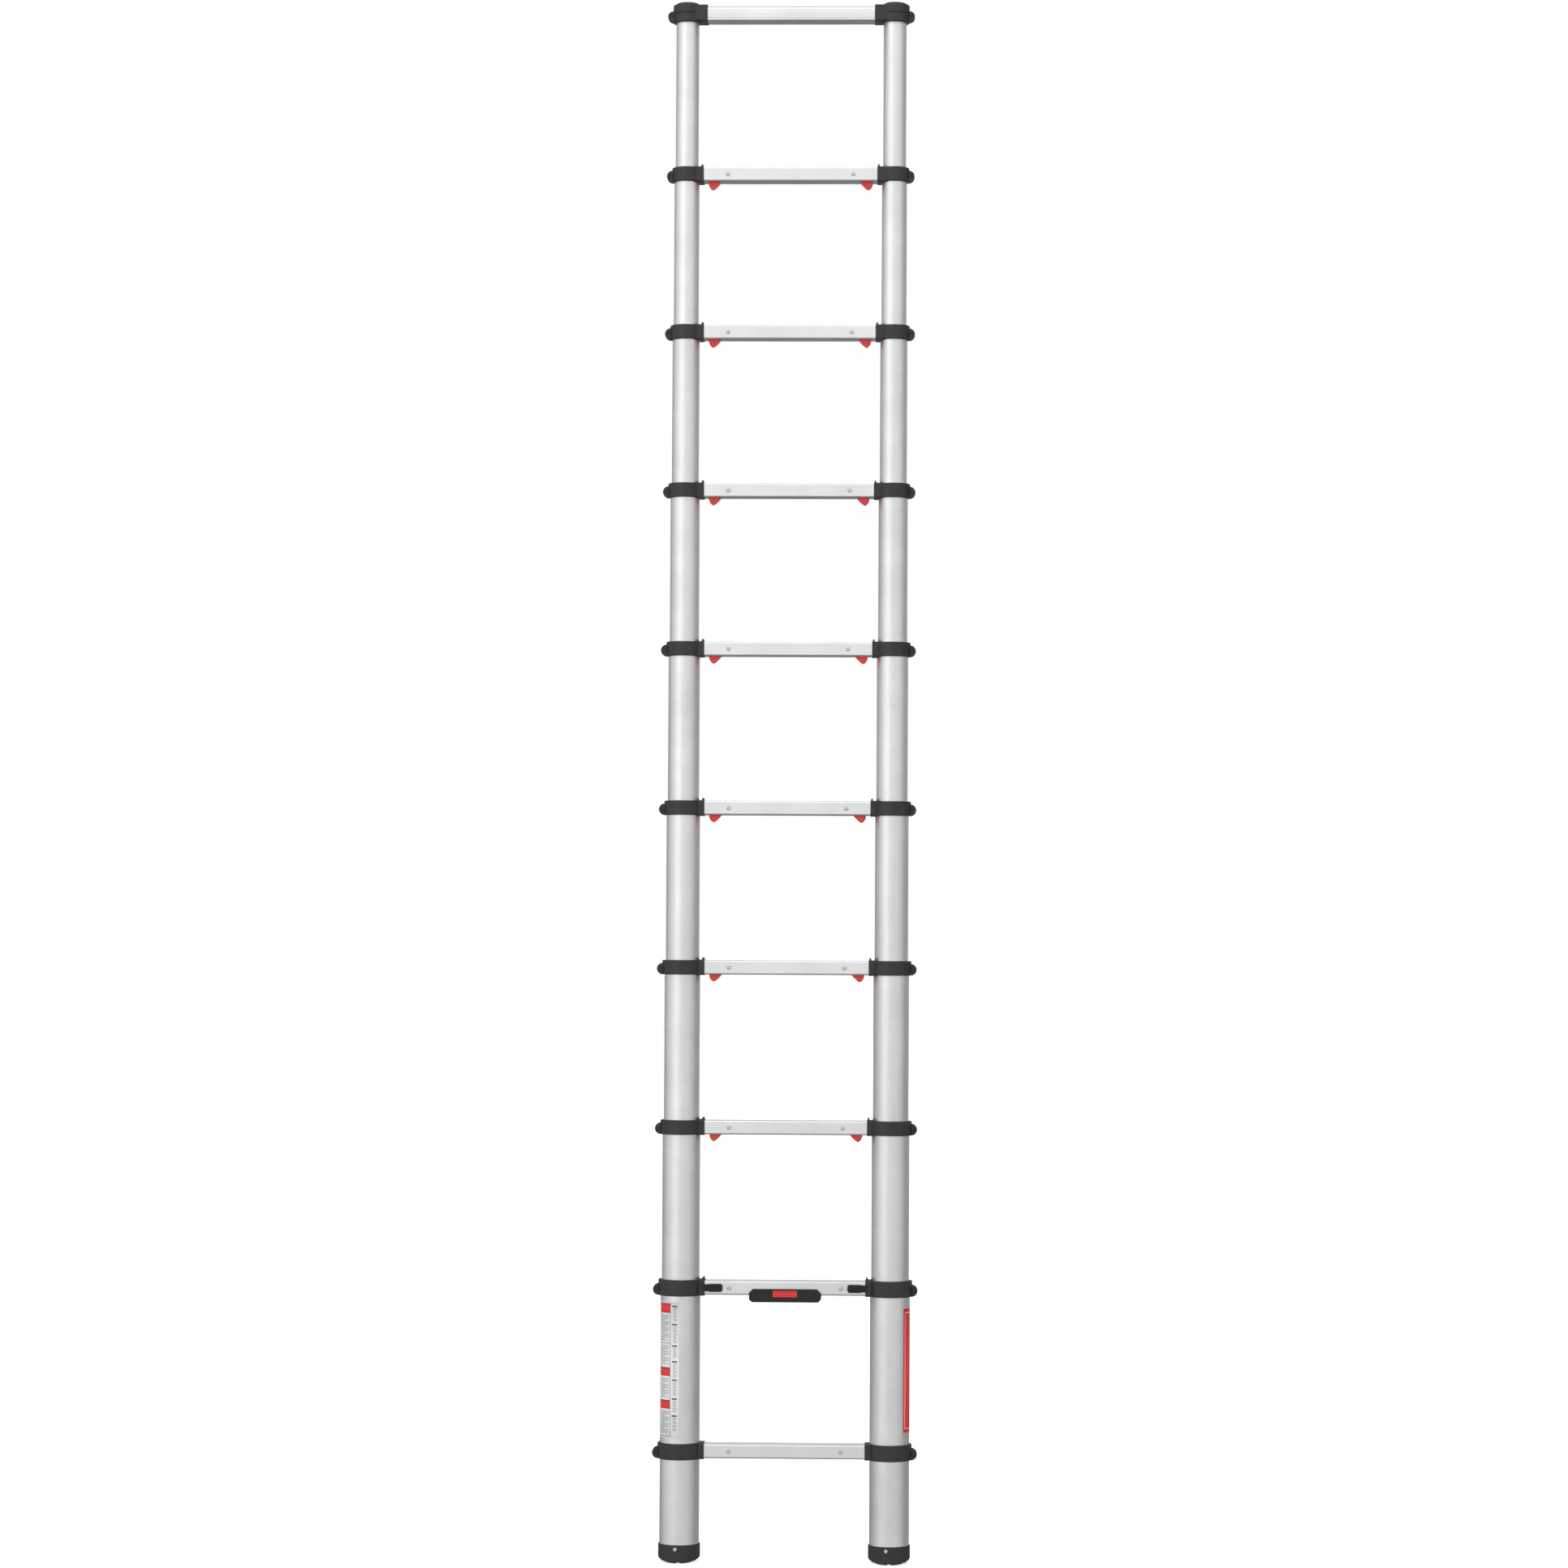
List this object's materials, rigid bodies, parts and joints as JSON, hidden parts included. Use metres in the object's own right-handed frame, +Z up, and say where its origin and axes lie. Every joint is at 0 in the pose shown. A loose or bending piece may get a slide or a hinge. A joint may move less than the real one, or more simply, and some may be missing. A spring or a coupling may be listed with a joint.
{
  "type": "telescopic extension ladder",
  "caption": "Telescopic extension ladder whose nested aluminium tube sections slide down into each other, with sprung lock pins, red release tabs, thumb slides and angled rubber feet.",
  "frame": {"origin": "midway between the two feet, on the lowest line of the soles", "axes": "+X across the ladder to the climber's right, +Y away from the climber towards the wall, +Z up the stiles"},
  "size_m": [0.505, 0.085, 2.9899],
  "materials": {
    "tube_aluminium": "satin anodised tube, drawn lengthwise",
    "rung_aluminium": "satin anodised extrusion",
    "black_nylon": "moulded glass-filled nylon, fine grain",
    "grip_plastic": "moulded plastic, fine grain",
    "red_plastic": "moulded red plastic, semi-gloss",
    "pin_steel": "zinc plated steel",
    "foot_rubber": "moulded rubber with tread grooves"
  },
  "bodies": {
    "section_1": {"section_1_tubes": "tube_aluminium", "rung_1": "rung_aluminium", "rung_2": "rung_aluminium", "base_collars": "black_nylon", "feet": "foot_rubber", "carry_grip": "grip_plastic"},
    "section_2": {"section_2_tubes": "tube_aluminium", "rung_3": "rung_aluminium", "collars_3": "black_nylon"},
    "section_3": {"section_3_tubes": "tube_aluminium", "rung_4": "rung_aluminium", "collars_4": "black_nylon"},
    "section_4": {"section_4_tubes": "tube_aluminium", "rung_5": "rung_aluminium", "collars_5": "black_nylon"},
    "section_5": {"section_5_tubes": "tube_aluminium", "rung_6": "rung_aluminium", "collars_6": "black_nylon"},
    "section_6": {"section_6_tubes": "tube_aluminium", "rung_7": "rung_aluminium", "collars_7": "black_nylon"},
    "section_7": {"section_7_tubes": "tube_aluminium", "rung_8": "rung_aluminium", "collars_8": "black_nylon"},
    "section_8": {"section_8_tubes": "tube_aluminium", "rung_9": "rung_aluminium", "collars_9": "black_nylon"},
    "section_9": {"section_9_tubes": "tube_aluminium", "rung_10": "rung_aluminium", "top_caps": "black_nylon"},
    "thumb_slide_left": {"thumb_slide_left": "grip_plastic"},
    "thumb_slide_right": {"thumb_slide_right": "grip_plastic"},
    "trigger_3_left": {"trigger_3_left": "red_plastic"},
    "lock_pin_3_left": {"lock_pin_3_left": "pin_steel"},
    "trigger_3_right": {"trigger_3_right": "red_plastic"},
    "lock_pin_3_right": {"lock_pin_3_right": "pin_steel"},
    "trigger_4_left": {"trigger_4_left": "red_plastic"},
    "lock_pin_4_left": {"lock_pin_4_left": "pin_steel"},
    "trigger_4_right": {"trigger_4_right": "red_plastic"},
    "lock_pin_4_right": {"lock_pin_4_right": "pin_steel"},
    "trigger_5_left": {"trigger_5_left": "red_plastic"},
    "lock_pin_5_left": {"lock_pin_5_left": "pin_steel"},
    "trigger_5_right": {"trigger_5_right": "red_plastic"},
    "lock_pin_5_right": {"lock_pin_5_right": "pin_steel"},
    "trigger_6_left": {"trigger_6_left": "red_plastic"},
    "lock_pin_6_left": {"lock_pin_6_left": "pin_steel"},
    "trigger_6_right": {"trigger_6_right": "red_plastic"},
    "lock_pin_6_right": {"lock_pin_6_right": "pin_steel"},
    "trigger_7_left": {"trigger_7_left": "red_plastic"},
    "lock_pin_7_left": {"lock_pin_7_left": "pin_steel"},
    "trigger_7_right": {"trigger_7_right": "red_plastic"},
    "lock_pin_7_right": {"lock_pin_7_right": "pin_steel"},
    "trigger_8_left": {"trigger_8_left": "red_plastic"},
    "lock_pin_8_left": {"lock_pin_8_left": "pin_steel"},
    "trigger_8_right": {"trigger_8_right": "red_plastic"},
    "lock_pin_8_right": {"lock_pin_8_right": "pin_steel"},
    "trigger_9_left": {"trigger_9_left": "red_plastic"},
    "lock_pin_9_left": {"lock_pin_9_left": "pin_steel"},
    "trigger_9_right": {"trigger_9_right": "red_plastic"},
    "lock_pin_9_right": {"lock_pin_9_right": "pin_steel"}
  },
  "joints": [
    {"name": "section_2_slide", "type": "slide", "parent": "section_1", "child": "section_2", "axis": [0, 0, -1], "range_m": [0, 0.264]},
    {"name": "section_3_slide", "type": "slide", "parent": "section_2", "child": "section_3", "axis": [0, 0, -1], "range_m": [0, 0.264]},
    {"name": "section_4_slide", "type": "slide", "parent": "section_3", "child": "section_4", "axis": [0, 0, -1], "range_m": [0, 0.264]},
    {"name": "section_5_slide", "type": "slide", "parent": "section_4", "child": "section_5", "axis": [0, 0, -1], "range_m": [0, 0.264]},
    {"name": "section_6_slide", "type": "slide", "parent": "section_5", "child": "section_6", "axis": [0, 0, -1], "range_m": [0, 0.264]},
    {"name": "section_7_slide", "type": "slide", "parent": "section_6", "child": "section_7", "axis": [0, 0, -1], "range_m": [0, 0.264]},
    {"name": "section_8_slide", "type": "slide", "parent": "section_7", "child": "section_8", "axis": [0, 0, -1], "range_m": [0, 0.264]},
    {"name": "section_9_slide", "type": "slide", "parent": "section_8", "child": "section_9", "axis": [0, 0, -1], "range_m": [0, 0.274]},
    {"name": "thumb_slide_left_slide", "type": "slide", "parent": "section_1", "child": "thumb_slide_left", "axis": [1, 0, 0], "range_m": [-0.003, 0.006], "stiffness_N_per_m": 400},
    {"name": "thumb_slide_right_slide", "type": "slide", "parent": "section_1", "child": "thumb_slide_right", "axis": [-1, 0, 0], "range_m": [-0.003, 0.006], "stiffness_N_per_m": 400},
    {"name": "trigger_3_left_slide", "type": "slide", "parent": "section_2", "child": "trigger_3_left", "axis": [0, 0, 1], "range_m": [-0.0025, 0.008], "stiffness_N_per_m": 600},
    {"name": "lock_pin_3_left_slide", "type": "slide", "parent": "section_2", "child": "lock_pin_3_left", "axis": [1, 0, 0], "range_m": [-0.0025, 0.008]},
    {"name": "trigger_3_right_slide", "type": "slide", "parent": "section_2", "child": "trigger_3_right", "axis": [0, 0, 1], "range_m": [-0.0025, 0.008], "stiffness_N_per_m": 600},
    {"name": "lock_pin_3_right_slide", "type": "slide", "parent": "section_2", "child": "lock_pin_3_right", "axis": [-1, 0, 0], "range_m": [-0.0025, 0.008]},
    {"name": "trigger_4_left_slide", "type": "slide", "parent": "section_3", "child": "trigger_4_left", "axis": [0, 0, 1], "range_m": [-0.0025, 0.008], "stiffness_N_per_m": 600},
    {"name": "lock_pin_4_left_slide", "type": "slide", "parent": "section_3", "child": "lock_pin_4_left", "axis": [1, 0, 0], "range_m": [-0.0025, 0.008]},
    {"name": "trigger_4_right_slide", "type": "slide", "parent": "section_3", "child": "trigger_4_right", "axis": [0, 0, 1], "range_m": [-0.0025, 0.008], "stiffness_N_per_m": 600},
    {"name": "lock_pin_4_right_slide", "type": "slide", "parent": "section_3", "child": "lock_pin_4_right", "axis": [-1, 0, 0], "range_m": [-0.0025, 0.008]},
    {"name": "trigger_5_left_slide", "type": "slide", "parent": "section_4", "child": "trigger_5_left", "axis": [0, 0, 1], "range_m": [-0.0025, 0.008], "stiffness_N_per_m": 600},
    {"name": "lock_pin_5_left_slide", "type": "slide", "parent": "section_4", "child": "lock_pin_5_left", "axis": [1, 0, 0], "range_m": [-0.0025, 0.008]},
    {"name": "trigger_5_right_slide", "type": "slide", "parent": "section_4", "child": "trigger_5_right", "axis": [0, 0, 1], "range_m": [-0.0025, 0.008], "stiffness_N_per_m": 600},
    {"name": "lock_pin_5_right_slide", "type": "slide", "parent": "section_4", "child": "lock_pin_5_right", "axis": [-1, 0, 0], "range_m": [-0.0025, 0.008]},
    {"name": "trigger_6_left_slide", "type": "slide", "parent": "section_5", "child": "trigger_6_left", "axis": [0, 0, 1], "range_m": [-0.0025, 0.008], "stiffness_N_per_m": 600},
    {"name": "lock_pin_6_left_slide", "type": "slide", "parent": "section_5", "child": "lock_pin_6_left", "axis": [1, 0, 0], "range_m": [-0.0025, 0.008]},
    {"name": "trigger_6_right_slide", "type": "slide", "parent": "section_5", "child": "trigger_6_right", "axis": [0, 0, 1], "range_m": [-0.0025, 0.008], "stiffness_N_per_m": 600},
    {"name": "lock_pin_6_right_slide", "type": "slide", "parent": "section_5", "child": "lock_pin_6_right", "axis": [-1, 0, 0], "range_m": [-0.0025, 0.008]},
    {"name": "trigger_7_left_slide", "type": "slide", "parent": "section_6", "child": "trigger_7_left", "axis": [0, 0, 1], "range_m": [-0.0025, 0.008], "stiffness_N_per_m": 600},
    {"name": "lock_pin_7_left_slide", "type": "slide", "parent": "section_6", "child": "lock_pin_7_left", "axis": [1, 0, 0], "range_m": [-0.0025, 0.008]},
    {"name": "trigger_7_right_slide", "type": "slide", "parent": "section_6", "child": "trigger_7_right", "axis": [0, 0, 1], "range_m": [-0.0025, 0.008], "stiffness_N_per_m": 600},
    {"name": "lock_pin_7_right_slide", "type": "slide", "parent": "section_6", "child": "lock_pin_7_right", "axis": [-1, 0, 0], "range_m": [-0.0025, 0.008]},
    {"name": "trigger_8_left_slide", "type": "slide", "parent": "section_7", "child": "trigger_8_left", "axis": [0, 0, 1], "range_m": [-0.0025, 0.008], "stiffness_N_per_m": 600},
    {"name": "lock_pin_8_left_slide", "type": "slide", "parent": "section_7", "child": "lock_pin_8_left", "axis": [1, 0, 0], "range_m": [-0.0025, 0.008]},
    {"name": "trigger_8_right_slide", "type": "slide", "parent": "section_7", "child": "trigger_8_right", "axis": [0, 0, 1], "range_m": [-0.0025, 0.008], "stiffness_N_per_m": 600},
    {"name": "lock_pin_8_right_slide", "type": "slide", "parent": "section_7", "child": "lock_pin_8_right", "axis": [-1, 0, 0], "range_m": [-0.0025, 0.008]},
    {"name": "trigger_9_left_slide", "type": "slide", "parent": "section_8", "child": "trigger_9_left", "axis": [0, 0, 1], "range_m": [-0.0025, 0.008], "stiffness_N_per_m": 600},
    {"name": "lock_pin_9_left_slide", "type": "slide", "parent": "section_8", "child": "lock_pin_9_left", "axis": [1, 0, 0], "range_m": [-0.0025, 0.008]},
    {"name": "trigger_9_right_slide", "type": "slide", "parent": "section_8", "child": "trigger_9_right", "axis": [0, 0, 1], "range_m": [-0.0025, 0.008], "stiffness_N_per_m": 600},
    {"name": "lock_pin_9_right_slide", "type": "slide", "parent": "section_8", "child": "lock_pin_9_right", "axis": [-1, 0, 0], "range_m": [-0.0025, 0.008]}
  ],
  "couplings": [
    {"joint": "lock_pin_3_left_slide", "follows": "trigger_3_left_slide", "ratio": 1},
    {"joint": "lock_pin_3_right_slide", "follows": "trigger_3_right_slide", "ratio": 1},
    {"joint": "lock_pin_4_left_slide", "follows": "trigger_4_left_slide", "ratio": 1},
    {"joint": "lock_pin_4_right_slide", "follows": "trigger_4_right_slide", "ratio": 1},
    {"joint": "lock_pin_5_left_slide", "follows": "trigger_5_left_slide", "ratio": 1},
    {"joint": "lock_pin_5_right_slide", "follows": "trigger_5_right_slide", "ratio": 1},
    {"joint": "lock_pin_6_left_slide", "follows": "trigger_6_left_slide", "ratio": 1},
    {"joint": "lock_pin_6_right_slide", "follows": "trigger_6_right_slide", "ratio": 1},
    {"joint": "lock_pin_7_left_slide", "follows": "trigger_7_left_slide", "ratio": 1},
    {"joint": "lock_pin_7_right_slide", "follows": "trigger_7_right_slide", "ratio": 1},
    {"joint": "lock_pin_8_left_slide", "follows": "trigger_8_left_slide", "ratio": 1},
    {"joint": "lock_pin_8_right_slide", "follows": "trigger_8_right_slide", "ratio": 1},
    {"joint": "lock_pin_9_left_slide", "follows": "trigger_9_left_slide", "ratio": 1},
    {"joint": "lock_pin_9_right_slide", "follows": "trigger_9_right_slide", "ratio": 1}
  ]
}
